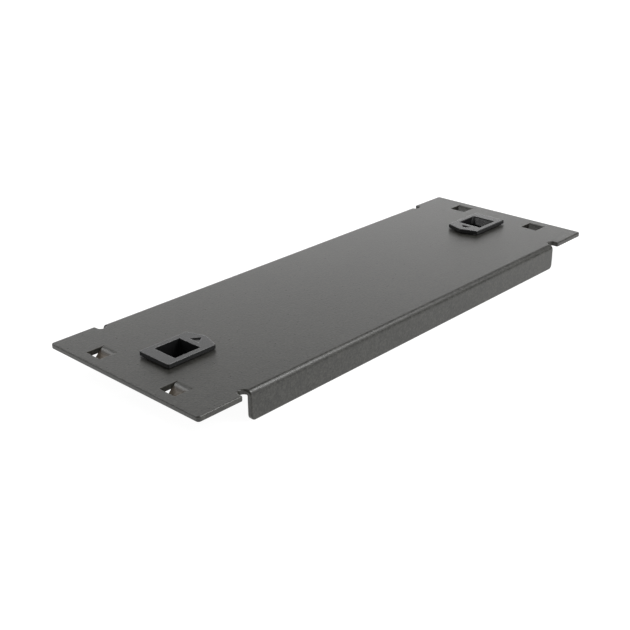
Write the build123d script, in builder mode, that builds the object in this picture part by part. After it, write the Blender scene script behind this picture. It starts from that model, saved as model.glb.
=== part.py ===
from build123d import *
import os
from math import sin, cos, radians, pi

os.makedirs("parts", exist_ok=True)

# Tool-free 10-inch rack blanking panel, two units high.
# Frame: +X along the 254 mm length, +Z out of the front face, +Y across the
# height of the panel. Origin: centre of the footprint, on the plane of the two
# flange edges, so the front face is at z = flange_depth.

# ---------------------------------------------------------------- dimensions
length = 254.0            # over the ears
height = 88.5             # two rack units (88.9) less running room
sheet_t = 2.2             # 2 mm steel with 0.1 mm of coat on each side
flange_depth = 12.3       # front face to flange edge
flange_half = 101.9       # flanges run from -101.9 to +101.9
bend_r_in = 0.3           # inside radius of the flange bends
bend_r_out = bend_r_in + sheet_t
ear_corner_r = 1.3
flange_corner_r = 2.1

relief_w = 3.9            # bend-relief slot beside each flange end
relief_in = 40.3          # slot runs in to this distance from the centre line
relief_r = 1.9            # inner corners of the slot
ear_end_r = 0.8
front_edge_r = 0.6        # deburred and coated outline edges, front skin
back_edge_r = 0.4         # the same, back skin

hole_pitch_x = 236.525    # rack hole centres, 10-inch rack
unit = 44.45              # rack unit
lance_x = 8.5             # opening of a lanced tab
lance_y = 8.8
lance_r = 0.3             # corners of the opening, less than the kerf
tab_kerf = 0.35
tab_angle = 45.0
tab_r_in = 1.2            # inside radius of the tab bend
tab_straight = 6.4
tab_tip_r = 1.2

rail_opening = 222.25     # clear width between the rack rails

latch_travel = 4.2
latch_centre = 100.2      # locked: finger pocket centre from the panel centre
left_rest = 1.25          # the left latch rests this far short of its stop
pocket_x = 12.6
pocket_y = 12.6
pocket_wall = 1.1
pocket_floor_t = 1.3
body_depth = 8.2          # below the front face, outside of the pocket floor
run = 0.15                # running room each side

# along X, measured from the pocket centre; inboard is towards the arrow
plate_out = 11.65         # outboard end of the thumb plate
plate_shoulder = 12.1
plate_peak = 14.9
plate_half = 8.75
plate_t = 1.8
plate_corner_r = 0.45
pad_gap = 0.05            # running room under the guide pad
pad_h = 0.45
pad_in = 9.4
pad_out = 9.7
pad_half = 7.8
arrow_base = 8.75
arrow_apex = 12.4
arrow_half = 2.75
arrow_depth = 0.5
ramp_lip = 0.5            # finger ramp at the outboard side of the pocket
ramp_drop = 3.0
ramp_in = 2.1
ramp_side_r = 1.2         # outboard corners of the hollow
rim_r = 0.3
plate_edge_r = 0.3

tongue_tip = 14.8
tongue_half = 5.0
tongue_front = 4.45       # below the front face: clears a 2 mm rail
tongue_t = 2.2
barb_out = 0.85
barb_len = 6.0
barb_h = 2.2

z_face = flange_depth
z_back = flange_depth - sheet_t
half_l = length / 2
half_h = height / 2
ear_start = flange_half + relief_w / 2
slot_long = half_h - relief_in + 1
box_long = pocket_x / 2 + pocket_wall
box_half = pocket_y / 2 + pocket_wall
cut_in = latch_centre - box_long - latch_travel - run
cut_out = latch_centre + box_long + run
cut_half = box_half + run

# ---------------------------------------------------------------- panel
# One folded sheet. The channel section runs to the middle of the relief slots,
# where the flat ears take over; the slots cut both back to their own ends.
with BuildPart() as panel:
    # channel: flat web with a flange bent back along each long edge
    with BuildSketch(Plane.YZ.offset(-ear_start)) as channel:
        with BuildLine():
            Polyline((-half_h, 0), (-half_h, z_face - bend_r_out))
            RadiusArc((-half_h, z_face - bend_r_out),
                      (-half_h + bend_r_out, z_face), bend_r_out)
            Line((-half_h + bend_r_out, z_face), (half_h - bend_r_out, z_face))
            RadiusArc((half_h - bend_r_out, z_face),
                      (half_h, z_face - bend_r_out), bend_r_out)
            Polyline((half_h, z_face - bend_r_out), (half_h, 0),
                     (half_h - sheet_t, 0),
                     (half_h - sheet_t, z_back - bend_r_in))
            RadiusArc((half_h - sheet_t, z_back - bend_r_in),
                      (half_h - sheet_t - bend_r_in, z_back), -bend_r_in)
            Line((half_h - sheet_t - bend_r_in, z_back),
                 (-half_h + sheet_t + bend_r_in, z_back))
            RadiusArc((-half_h + sheet_t + bend_r_in, z_back),
                      (-half_h + sheet_t, z_back - bend_r_in), -bend_r_in)
            Polyline((-half_h + sheet_t, z_back - bend_r_in),
                     (-half_h + sheet_t, 0), (-half_h, 0))
        make_face()
    extrude(amount=2 * ear_start)

    # ears: flat sheet out to the ends of the panel
    with BuildSketch(Plane.XY.offset(z_back)) as ears:
        for side in (-1, 1):
            with Locations((side * (half_l + ear_start) / 2, 0)):
                Rectangle(half_l - ear_start, height)
        outer = ears.vertices().filter_by(lambda v: abs(v.X) > half_l - 0.01)
        fillet(outer, radius=ear_corner_r)
    extrude(amount=sheet_t)
    # the sheet is whole across the line where they meet
    with BuildSketch(Plane.XY.offset(z_back)):
        for side in (-1, 1):
            with Locations((side * ear_start, 0)):
                Rectangle(2.0, 2 * (half_h - bend_r_out))
    extrude(amount=sheet_t)

    # bend-relief slots, round-ended, which set the length of the flanges
    with BuildSketch(Plane.XY) as slots:
        with GridLocations(2 * flange_half + relief_w,
                           2 * relief_in + slot_long, 2, 2):
            Rectangle(relief_w, slot_long)
        inner = slots.vertices().filter_by(
            lambda v: abs(abs(v.Y) - relief_in) < 0.01)
        fillet(inner, radius=relief_r)
    extrude(amount=z_face + 1, mode=Mode.SUBTRACT)

    # corners of the ears beside the slots
    ends = (panel.edges().filter_by(Axis.Z)
            .filter_by(lambda e: abs(abs(e.center().X) - flange_half
                                     - relief_w) < 0.01
                       and abs(e.center().Y) > half_h - 0.01))
    fillet(ends, radius=ear_end_r)

    # lower corners of the flanges
    corners = (panel.edges().filter_by(Axis.Y)
               .filter_by(lambda e: abs(e.center().Z) < 0.01))
    fillet(corners, radius=flange_corner_r)

    # openings of the lanced locating tabs, on the rack hole centres
    with BuildSketch(Plane.XY.offset(z_back)):
        with GridLocations(hole_pitch_x, unit, 2, 2):
            RectangleRounded(lance_x, lance_y, lance_r)
    extrude(amount=sheet_t, mode=Mode.SUBTRACT)

    # cut-outs for the two latches
    with BuildSketch(Plane.XY.offset(z_back)):
        for side in (-1, 1):
            with Locations((side * (cut_in + cut_out) / 2, 0)):
                RectangleRounded(cut_out - cut_in, 2 * cut_half, 0.5)
    extrude(amount=sheet_t, mode=Mode.SUBTRACT)

    # lanced tabs: each is bent back 45 degrees about the +X edge of its
    # opening, so all four lean the same way
    a = radians(tab_angle)
    tab_r_out = tab_r_in + sheet_t
    for col in (-1, 1):
        hinge = col * hole_pitch_x / 2 + lance_x / 2
        zc = z_back - tab_r_in
        top = (hinge - tab_r_out * sin(a), zc + tab_r_out * cos(a))
        low = (hinge - tab_r_in * sin(a), zc + tab_r_in * cos(a))
        tip_t = (top[0] - tab_straight * cos(a), top[1] - tab_straight * sin(a))
        tip_l = (low[0] - tab_straight * cos(a), low[1] - tab_straight * sin(a))
        for row in (-1, 1):
            y_tab = row * unit / 2
            with BuildSketch(Plane.XZ.offset(-y_tab)):
                with BuildLine():
                    Line((hinge + 1.0, z_face), (hinge, z_face))
                    RadiusArc((hinge, z_face), top, -tab_r_out)
                    Polyline(top, tip_t, tip_l, low)
                    RadiusArc(low, (hinge, z_back), tab_r_in)
                    Polyline((hinge, z_back), (hinge + 1.0, z_back),
                             (hinge + 1.0, z_face))
                make_face()
            extrude(amount=lance_y / 2 - tab_kerf, both=True)
    # rounded corners of the tab tips
    tip_dir = Vector(-cos(a), 0, -sin(a))
    tips = panel.edges().filter_by(
        lambda e: abs(e.length - sheet_t) < 0.02
        and abs(abs((e @ 1 - e @ 0).normalized().dot(Vector(-sin(a), 0, cos(a)))) - 1) < 1e-3
        and e.center().Z < z_back - 3)
    fillet(tips, radius=tab_tip_r)

    # The outline of each skin is one smooth loop: ears, slots, bends, flange
    # ends and flange edges. Rounding its edge at one end rounds all of it.
    front_loop = (panel.edges().filter_by(Axis.Y)
                  .filter_by(lambda e: abs(e.center().Z - z_face) < 0.01
                             and abs(e.center().X + half_l) < 0.01))
    fillet(front_loop, radius=front_edge_r)
    back_loop = (panel.edges().filter_by(Axis.Y)
                 .filter_by(lambda e: abs(e.center().Z - z_back) < 0.01
                            and abs(e.center().X + half_l) < 0.01))
    fillet(back_loop, radius=back_edge_r)
panel.part.label = "panel"

# ---------------------------------------------------------------- pocket void
# The hollow of the finger pocket: the inboard wall, which the finger pushes on,
# is straight, and the outboard wall has a ramp that turns into the side walls.
with BuildPart() as pocket_void:
    z_lip = z_face + pad_h + plate_t - ramp_lip
    z_floor = z_face - body_depth + pocket_floor_t
    with BuildSketch(Plane.XZ):
        with BuildLine():
            Polyline((latch_centre - pocket_x / 2, z_lip),
                     (latch_centre + pocket_x / 2, z_lip),
                     (latch_centre + pocket_x / 2 - ramp_in, z_lip - ramp_drop),
                     (latch_centre + pocket_x / 2 - ramp_in, z_floor),
                     (latch_centre - pocket_x / 2, z_floor), close=True)
        make_face()
    extrude(amount=pocket_y / 2, both=True)
    turn = (pocket_void.edges().filter_by(
        lambda e: abs(abs(e.center().Y) - pocket_y / 2) < 0.01
        and e.center().X > latch_centre + 1
        and z_floor + 0.01 < e.center().Z < z_lip - 0.01))
    fillet(turn, radius=ramp_side_r)

# ---------------------------------------------------------------- right latch
# One moulding: thumb plate with an arrow end towards the panel centre, guide
# pad on the face, pocket box through the cut-out, snap barbs and a tongue that
# goes behind the rack rail. Built at +X, then mirrored for the left side.
with BuildPart() as right_latch:
    c = latch_centre
    # guide pad, sliding on the face
    with BuildSketch(Plane.XY.offset(z_face + pad_gap)):
        with Locations((c + (pad_out - pad_in) / 2, 0)):
            RectangleRounded(pad_out + pad_in, 2 * pad_half, 0.6)
    extrude(amount=pad_h - pad_gap)

    # thumb plate
    with BuildSketch(Plane.XY.offset(z_face + pad_h)) as house:
        with BuildLine():
            Polyline((c - plate_peak, 0), (c - plate_shoulder, -plate_half),
                     (c + plate_out, -plate_half), (c + plate_out, plate_half),
                     (c - plate_shoulder, plate_half), close=True)
        make_face()
        fillet(house.vertices(), radius=plate_corner_r)
    extrude(amount=plate_t)
    rim = (right_latch.faces().filter_by(
        lambda f: abs(f.center().Z - z_face - pad_h - plate_t) < 0.01)
        .edges())
    fillet(rim, radius=plate_edge_r)

    # pocket box through the cut-out
    with BuildSketch(Plane.XY.offset(z_face - body_depth)):
        with Locations((c, 0)):
            RectangleRounded(2 * box_long, 2 * box_half, 0.8)
    extrude(amount=body_depth + pad_h)

    # tongue behind the rail, with a lead-in at the back of its tip
    z_tongue = z_face - tongue_front
    with BuildSketch(Plane.XZ):
        with BuildLine():
            Polyline((c + box_long - 0.6, z_tongue),
                     (c + tongue_tip - 0.3, z_tongue),
                     (c + tongue_tip, z_tongue - 0.3),
                     (c + tongue_tip, z_tongue - 0.9),
                     (c + tongue_tip - 1.9, z_tongue - tongue_t),
                     (c + box_long - 0.6, z_tongue - tongue_t),
                     close=True)
        make_face()
    extrude(amount=tongue_half, both=True)
    # two gussets behind the tongue
    for y in (-3.4, 3.4):
        with BuildSketch(Plane.XZ.offset(-y)):
            with BuildLine():
                Polyline((c + box_long - 0.5, z_tongue - tongue_t + 0.2),
                         (c + box_long + 3.6, z_tongue - tongue_t + 0.2),
                         (c + box_long + 3.6, z_tongue - tongue_t),
                         (c + box_long, z_face - body_depth + 0.2),
                         (c + box_long - 0.5, z_face - body_depth + 0.2),
                         close=True)
            make_face()
        extrude(amount=0.6, both=True)

    # snap barbs under the sheet, one on each side wall
    z_barb = z_back - 0.1
    for side in (-1, 1):
        with BuildSketch(Plane.YZ.offset(c - barb_len / 2)):
            with BuildLine():
                Polyline((side * (box_half - 0.4), z_barb),
                         (side * (box_half + barb_out), z_barb),
                         (side * (box_half + barb_out), z_barb - 0.5),
                         (side * (box_half - 0.4), z_barb - barb_h),
                         close=True)
            make_face()
        extrude(amount=barb_len)

    # finger pocket, open at the front
    z_top = z_face + pad_h + plate_t
    add(pocket_void.part, mode=Mode.SUBTRACT)
    with BuildSketch(Plane.XY.offset(z_top - ramp_lip)):
        with Locations((c, 0)):
            Rectangle(pocket_x, pocket_y)
    extrude(amount=ramp_lip, mode=Mode.SUBTRACT)
    mouth = (right_latch.edges().filter_by(
        lambda e: abs(e.center().Z - z_top) < 0.01
        and abs(e.center().X - c) < pocket_x / 2 + 0.01
        and abs(e.center().Y) < pocket_y / 2 + 0.01))
    fillet(mouth, radius=rim_r)

    # sunk arrow, pointing the way that the latch slides to let go
    with BuildSketch(Plane.XY.offset(z_top - arrow_depth)):
        with BuildLine():
            Polyline((c - arrow_apex, 0), (c - arrow_base, -arrow_half),
                     (c - arrow_base, arrow_half), close=True)
        make_face()
    extrude(amount=arrow_depth, mode=Mode.SUBTRACT)
right_latch.part.label = "right_latch"

# ---------------------------------------------------------------- left latch
# The mirror image, resting a little short of its outboard stop.
with BuildPart() as left_latch:
    with Locations((left_rest, 0, 0)):
        add(mirror(right_latch.part, about=Plane.YZ, mode=Mode.PRIVATE))
left_latch.part.label = "left_latch"

export_step(panel.part, "parts/panel.step")
export_step(left_latch.part, "parts/left_latch.step")
export_step(right_latch.part, "parts/right_latch.step")

print("sheet thickness", sheet_t, "tongue reach past the rail edge",
      round(latch_centre + tongue_tip - rail_opening / 2, 2),
      "travel", latch_travel)
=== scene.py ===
import math

import bpy
from mathutils import Matrix, Vector

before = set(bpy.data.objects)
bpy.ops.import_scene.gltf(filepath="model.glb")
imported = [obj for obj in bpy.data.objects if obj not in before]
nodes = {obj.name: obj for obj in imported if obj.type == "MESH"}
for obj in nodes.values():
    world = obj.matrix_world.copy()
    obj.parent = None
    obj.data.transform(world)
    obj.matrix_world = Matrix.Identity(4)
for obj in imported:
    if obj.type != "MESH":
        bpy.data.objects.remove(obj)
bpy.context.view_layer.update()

scene = bpy.context.scene


# ------------------------------------------------------------------ helpers
def node(tree, kind, x=0, y=0, **inputs):
    n = tree.nodes.new(kind)
    n.location = (x, y)
    for key, value in inputs.items():
        n.inputs[key.replace("_", " ")].default_value = value
    return n


def link(tree, a, out, b, into):
    tree.links.new(a.outputs[out], b.inputs[into])


def ramp(tree, stops, x=0, y=0):
    n = tree.nodes.new("ShaderNodeValToRGB")
    n.location = (x, y)
    e = n.color_ramp.elements
    while len(e) > 1:
        e.remove(e[-1])
    e[0].position, e[0].color = stops[0][0], (*[stops[0][1]] * 3, 1)
    for at, v in stops[1:]:
        e.new(at).color = (v, v, v, 1)
    return n


# ------------------------------------------------------------------ camera
cam_data = bpy.data.cameras.new("camera")
cam = bpy.data.objects.new("camera", cam_data)
scene.collection.objects.link(cam)
scene.camera = cam
cam_data.sensor_width = 36.0
cam_data.lens = 60.0
cam_data.clip_start = 0.01
cam_data.clip_end = 20.0
cam_data.dof.use_dof = False
right = (0.68347593, -0.72991376, -0.00930364)
up = (0.30321005, 0.27227974, 0.91319626)
back = (-0.66402132, -0.62696862, 0.40741384)
place = (-0.32796762, -0.28964008, 0.19075637)
cam.matrix_world = Matrix([[right[i], up[i], back[i], place[i]]
                           for i in range(3)] + [[0, 0, 0, 1]])


# --------------------------------------------------------------- materials
def tree_of(name):
    m = bpy.data.materials.new(name)
    m.use_nodes = True
    t = m.node_tree
    t.nodes.clear()
    out = node(t, "ShaderNodeOutputMaterial", 1300, 0)
    bsdf = node(t, "ShaderNodeBsdfPrincipled", 1000, 0)
    link(t, bsdf, "BSDF", out, "Surface")
    bsdf.inputs["IOR"].default_value = 1.5
    return m, t, bsdf


def noise(t, at, scale, detail, rough, y):
    n = node(t, "ShaderNodeTexNoise", -600, y, Scale=scale, Detail=detail,
             Roughness=rough)
    link(t, at, "Object", n, "Vector")
    return n


def mixed(t, a, b, share, x, y):
    """share of b over a, both single values."""
    n = node(t, "ShaderNodeMix", x, y)
    n.data_type = "FLOAT"
    n.inputs[0].default_value = share
    t.links.new(a, n.inputs[2])
    t.links.new(b, n.inputs[3])
    return n.outputs[0]


def times(t, a, x, y, b=None, colour=None):
    """colours multiplied."""
    n = node(t, "ShaderNodeMix", x, y)
    n.data_type = "RGBA"
    n.blend_type = "MULTIPLY"
    n.inputs[0].default_value = 1.0
    t.links.new(a, n.inputs[6])
    if b is not None:
        t.links.new(b, n.inputs[7])
    else:
        n.inputs[7].default_value = (*colour, 1)
    return n.outputs[2]


def round_edges(t, radius, x, y):
    """Normals as if the edges had this radius."""
    soft = node(t, "ShaderNodeBevel", x, y, Radius=radius)
    soft.samples = 8
    return soft


def edge_mask(t, radius, x, y):
    """0 on flats, up to 1 on the outside edges and corners."""
    soft = node(t, "ShaderNodeBevel", x, y, Radius=radius)
    soft.samples = 6
    geo = node(t, "ShaderNodeNewGeometry", x, y - 200)
    dot = node(t, "ShaderNodeVectorMath", x + 200, y)
    dot.operation = "DOT_PRODUCT"
    link(t, soft, "Normal", dot, 0)
    link(t, geo, "Normal", dot, 1)
    m = ramp(t, [(0.86, 1.0), (0.99, 0.0)], x + 400, y)
    link(t, dot, "Value", m, "Fac")
    return m.outputs["Color"]


def tab_tone_and_light_mask(t, at, grit):
    """Up to 1 on the sloping part of the two left tabs, 0 elsewhere; it places
    their browner tone and painted light.
    """
    def op(kind, a, b, x, y):
        n = node(t, "ShaderNodeMath", x, y)
        n.operation = kind
        for i, v in enumerate((a, b)):
            if v is None:
                continue
            if isinstance(v, float):
                n.inputs[i].default_value = v
            else:
                t.links.new(v, n.inputs[i])
        return n.outputs[0]

    xyz = node(t, "ShaderNodeSeparateXYZ", -900, 1000)
    link(t, at, "Object", xyz, "Vector")
    x, y, z = xyz.outputs
    dx = op("ABSOLUTE", op("ADD", x, 0.1182625, -700, 1200), None, -540, 1200)
    dy = op("ABSOLUTE", op("SUBTRACT", op("ABSOLUTE", y, None, -700, 1040),
                           0.022225, -540, 1040), None, -380, 1040)
    near = op("MULTIPLY", op("LESS_THAN", dx, 0.0045, -220, 1200),
              op("LESS_THAN", dy, 0.0042, -220, 1040), -60, 1120)
    below = node(t, "ShaderNodeMapRange", -220, 880, From_Min=0.0119,
                 From_Max=0.0104, To_Min=0.0, To_Max=1.0)
    t.links.new(z, below.inputs["Value"])
    both = op("MULTIPLY", near, below.outputs["Result"], 100, 1000)
    return op("MULTIPLY", both, grit.outputs["Fac"], 260, 1000)


def powder_coat():
    """Fine-textured satin powder coat over steel, very dark warm grey."""
    m, t, bsdf = tree_of("powder_coat")
    at = node(t, "ShaderNodeTexCoord", -900, 0)
    grit = noise(t, at, 2600.0, 2.0, 0.6, 420)      # specks, 0.4 mm
    peel = noise(t, at, 1050.0, 2.0, 0.55, 160)     # orange peel, 1 mm
    flow = noise(t, at, 300.0, 2.0, 0.5, -100)      # 3 mm
    slow = noise(t, at, 34.0, 2.0, 0.5, -360)       # thicker and thinner film
    skin = mixed(t, grit.outputs["Fac"], peel.outputs["Fac"], 0.6, -350, 300)
    film = mixed(t, skin, flow.outputs["Fac"], 0.15, -350, 60)

    shade = ramp(t, [(0.39, COAT_LOW), (0.50, COAT_MID), (0.61, COAT_HIGH)],
                 -120, 300)
    t.links.new(film, shade.inputs["Fac"])
    drift = ramp(t, [(0.35, 0.95), (0.65, 1.05)], -120, -360)
    link(t, slow, "Fac", drift, "Fac")
    colour = times(t, shade.outputs["Color"], 150, 240, b=drift.outputs["Color"])
    colour = times(t, colour, 320, 240, colour=(1.01, 1.0, 0.86))
    # a sheared edge holds less powder: a lighter, browner line
    worn = edge_mask(t, 0.0010, -350, 700)
    edge = node(t, "ShaderNodeMix", 560, 300)
    edge.data_type = "RGBA"
    t.links.new(worn, edge.inputs[0])
    t.links.new(colour, edge.inputs[6])
    edge.inputs[7].default_value = (0.050, 0.047, 0.040, 1)
    # the two left tabs get a browner tone and, as painted light, a much lighter
    # base colour on their sloping part, making up for the shade they fall into
    tab_painted_light_mix = node(t, "ShaderNodeMix", 780, 300)
    tab_painted_light_mix.data_type = "RGBA"
    t.links.new(tab_tone_and_light_mask(t, at, grit), tab_painted_light_mix.inputs[0])
    t.links.new(edge.outputs[2], tab_painted_light_mix.inputs[6])
    tab_painted_light_mix.inputs[7].default_value = (*TAB_BROWN_AND_PAINTED_LIGHT, 1)
    t.links.new(tab_painted_light_mix.outputs[2], bsdf.inputs["Base Color"])

    gloss = ramp(t, [(0.34, COAT_ROUGH - 0.05), (0.66, COAT_ROUGH + 0.05)],
                 -120, 0)
    t.links.new(film, gloss.inputs["Fac"])
    t.links.new(gloss.outputs["Color"], bsdf.inputs["Roughness"])
    low = node(t, "ShaderNodeBump", 420, -240, Strength=0.7, Distance=0.00010)
    t.links.new(mixed(t, peel.outputs["Fac"], flow.outputs["Fac"], 0.15,
                      -120, -200), low.inputs["Height"])
    high = node(t, "ShaderNodeBump", 640, -240, Strength=0.6, Distance=0.000015)
    link(t, round_edges(t, 0.0002, 200, -420), "Normal", low, "Normal")
    link(t, grit, "Fac", high, "Height")
    link(t, low, "Normal", high, "Normal")
    link(t, high, "Normal", bsdf, "Normal")
    return m


def moulded_plastic():
    """Smooth black moulded plastic with a faint satin texture."""
    m, t, bsdf = tree_of("moulded_plastic")
    bsdf.inputs["IOR"].default_value = 1.56
    at = node(t, "ShaderNodeTexCoord", -900, 0)
    fine = noise(t, at, 5200.0, 2.0, 0.5, 420)
    peel = noise(t, at, 900.0, 2.0, 0.5, 160)
    flow = noise(t, at, 120.0, 2.0, 0.5, -100)
    shade = ramp(t, [(0.3, PLASTIC_LOW), (0.7, PLASTIC_HIGH)], -120, 300)
    t.links.new(mixed(t, peel.outputs["Fac"], flow.outputs["Fac"], 0.5,
                      -350, 200), shade.inputs["Fac"])
    colour = times(t, shade.outputs["Color"], 150, 240,
                   colour=(0.98, 1.0, 1.03))
    # rubbed a little lighter where fingers and the moulding's edges meet
    worn = edge_mask(t, 0.0003, -350, 700)
    edge = node(t, "ShaderNodeMix", 560, 300)
    edge.data_type = "RGBA"
    t.links.new(worn, edge.inputs[0])
    t.links.new(colour, edge.inputs[6])
    edge.inputs[7].default_value = (0.028, 0.028, 0.029, 1)
    t.links.new(edge.outputs[2], bsdf.inputs["Base Color"])
    gloss = ramp(t, [(0.3, PLASTIC_ROUGH - 0.03), (0.7, PLASTIC_ROUGH + 0.03)],
                 -120, 0)
    link(t, flow, "Fac", gloss, "Fac")
    t.links.new(gloss.outputs["Color"], bsdf.inputs["Roughness"])
    low = node(t, "ShaderNodeBump", 420, -240, Strength=0.4, Distance=0.000006)
    link(t, round_edges(t, 0.00028, 200, -420), "Normal", low, "Normal")
    link(t, peel, "Fac", low, "Height")
    high = node(t, "ShaderNodeBump", 640, -240, Strength=0.3, Distance=0.000004)
    link(t, fine, "Fac", high, "Height")
    link(t, low, "Normal", high, "Normal")
    link(t, high, "Normal", bsdf, "Normal")
    return m


COAT_LOW, COAT_MID, COAT_HIGH = 0.0165, 0.0270, 0.0475
COAT_ROUGH = 0.32
# browner tone plus painted light: far lighter than the coat, standing in for
# light on the shaded slope of the left tabs
TAB_BROWN_AND_PAINTED_LIGHT = (0.230, 0.188, 0.146)
PLASTIC_LOW, PLASTIC_HIGH = 0.014, 0.020
PLASTIC_ROUGH = 0.24

coat = powder_coat()
plastic = moulded_plastic()
for name, o in nodes.items():
    m = coat if name == "panel" else plastic
    for slot in o.material_slots:
        slot.material = m

# ------------------------------------------------------------------- floor
floor_mesh = bpy.data.meshes.new("floor")
s = 6.0
floor_mesh.from_pydata([(-s, -s, 0), (s, -s, 0), (s, s, 0), (-s, s, 0)], [],
                       [(0, 1, 2, 3)])
floor = bpy.data.objects.new("floor", floor_mesh)
floor.location.z = -0.00002
scene.collection.objects.link(floor)
pale = bpy.data.materials.new("pale_floor")
pale.use_nodes = True
t = pale.node_tree
b = t.nodes["Principled BSDF"]
b.inputs["Base Color"].default_value = (0.18, 0.18, 0.18, 1)
b.inputs["Roughness"].default_value = 0.9
b.inputs["Emission Color"].default_value = (1, 1, 1, 1)
b.inputs["Emission Strength"].default_value = 0.95
floor_mesh.materials.append(pale)

# ------------------------------------------------------------------ lights
# A dim room, a low white backdrop behind the far right, and soft boxes. Each
# box is given by the direction that its light comes from, its distance, its
# width and height in metres, and how bright it is beside the white floor.
world = bpy.data.worlds.new("studio")
scene.world = world
world.use_nodes = True
bg = world.node_tree.nodes["Background"]
bg.inputs["Color"].default_value = (1, 1, 1, 1)
bg.inputs["Strength"].default_value = 0.24
# the room is dim, but past the edge of the floor a view sees white paper
rays = world.node_tree.nodes.new("ShaderNodeLightPath")
paper = world.node_tree.nodes.new("ShaderNodeMath")
paper.operation = "MULTIPLY_ADD"
paper.inputs[1].default_value = 0.76
paper.inputs[2].default_value = 0.24
world.node_tree.links.new(rays.outputs["Is Camera Ray"], paper.inputs[0])
world.node_tree.links.new(paper.outputs[0], bg.inputs["Strength"])


def softbox(name, azimuth, elevation, distance, wide, high, bright,
            colour=(1, 1, 1)):
    d = bpy.data.lights.new(name, "AREA")
    d.shape = "RECTANGLE"
    d.size, d.size_y = wide, high
    d.energy = bright * math.pi * wide * high
    d.color = colour
    o = bpy.data.objects.new(name, d)
    scene.collection.objects.link(o)
    az, el = math.radians(azimuth), math.radians(elevation)
    o.location = Vector((math.cos(el) * math.cos(az),
                         math.cos(el) * math.sin(az),
                         math.sin(el))) * distance
    o.rotation_mode = "QUATERNION"
    o.rotation_quaternion = (-o.location).to_track_quat("-Z", "Y")
    return o


softbox("backdrop_low", 45, 7.2, 3.0, 3.3, 0.72, 1.95)
softbox("backdrop_high", 48, 25.3, 3.0, 3.1, 1.25, 0.72)
softbox("key", 325, 54, 2.0, 0.7, 0.9, 8.8)
softbox("key_low", 308, 30, 2.0, 1.75, 0.90, 1.4)
softbox("fill_right", 352, 57, 2.0, 0.70, 0.60, 3.5)
softbox("left_low", 140, 24, 2.0, 1.6, 0.35, 0.9)
softbox("left_high", 110, 42, 2.0, 0.90, 0.50, 5.5)
softbox("front_strip", 270, 7.2, 3.0, 4.6, 0.72, 1.9)
softbox("hinge_lines", 80, 50, 2.0, 0.80, 0.40, 2.0)

scene.view_settings.view_transform = "Standard"
scene.view_settings.look = "None"
scene.view_settings.exposure = 0.0
scene.view_settings.gamma = 1.0
